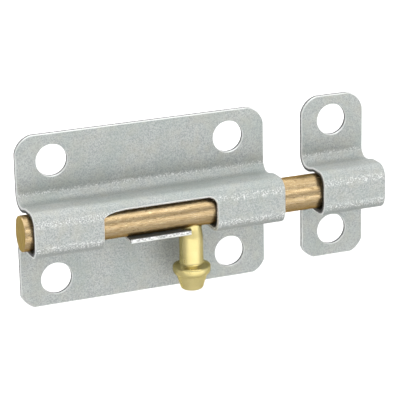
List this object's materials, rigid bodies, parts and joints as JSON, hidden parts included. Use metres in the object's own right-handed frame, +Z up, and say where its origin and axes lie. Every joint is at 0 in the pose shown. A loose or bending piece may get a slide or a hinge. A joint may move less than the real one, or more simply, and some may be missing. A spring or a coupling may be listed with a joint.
{
  "type": "toggle bolt latch",
  "caption": "Surface-mounted sliding barrel bolt with a turn-down locking knob and a separate keeper, for a door, gate or cupboard.",
  "frame": {"origin": "middle of the case's four screw holes, on the mounting plane at the back of the plates", "axes": "+X along the bolt towards the keeper, +Y into the door, +Z up"},
  "size_m": [0.0896, 0.0136, 0.0418],
  "materials": {
    "zinc_plate": "zinc-plated sheet steel, dull and finely mottled, bright on the bends",
    "drawn_brass": "drawn rod with fine lengthwise streaks",
    "turned_brass": "turned and polished, pale"
  },
  "bodies": {
    "case": {"case": "zinc_plate"},
    "bolt": {"bolt_rod": "drawn_brass"},
    "knob": {"knob": "turned_brass"},
    "keeper": {"keeper": "zinc_plate"}
  },
  "joints": [
    {"name": "bolt_slide", "type": "slide", "parent": "case", "child": "bolt", "axis": [1, 0, 0], "range_m": [-0.0201, 0.0019]},
    {"name": "knob_turn", "type": "hinge", "parent": "bolt", "child": "knob", "pos_m": [0.00905, -0.0081, 0.0003], "axis": [-1, 0, 0], "range_deg": [-8, 95]},
    {"name": "keeper_off", "type": "slide", "parent": "case", "child": "keeper", "axis": [1, 0, 0], "range_m": [0, 0.02]}
  ]
}
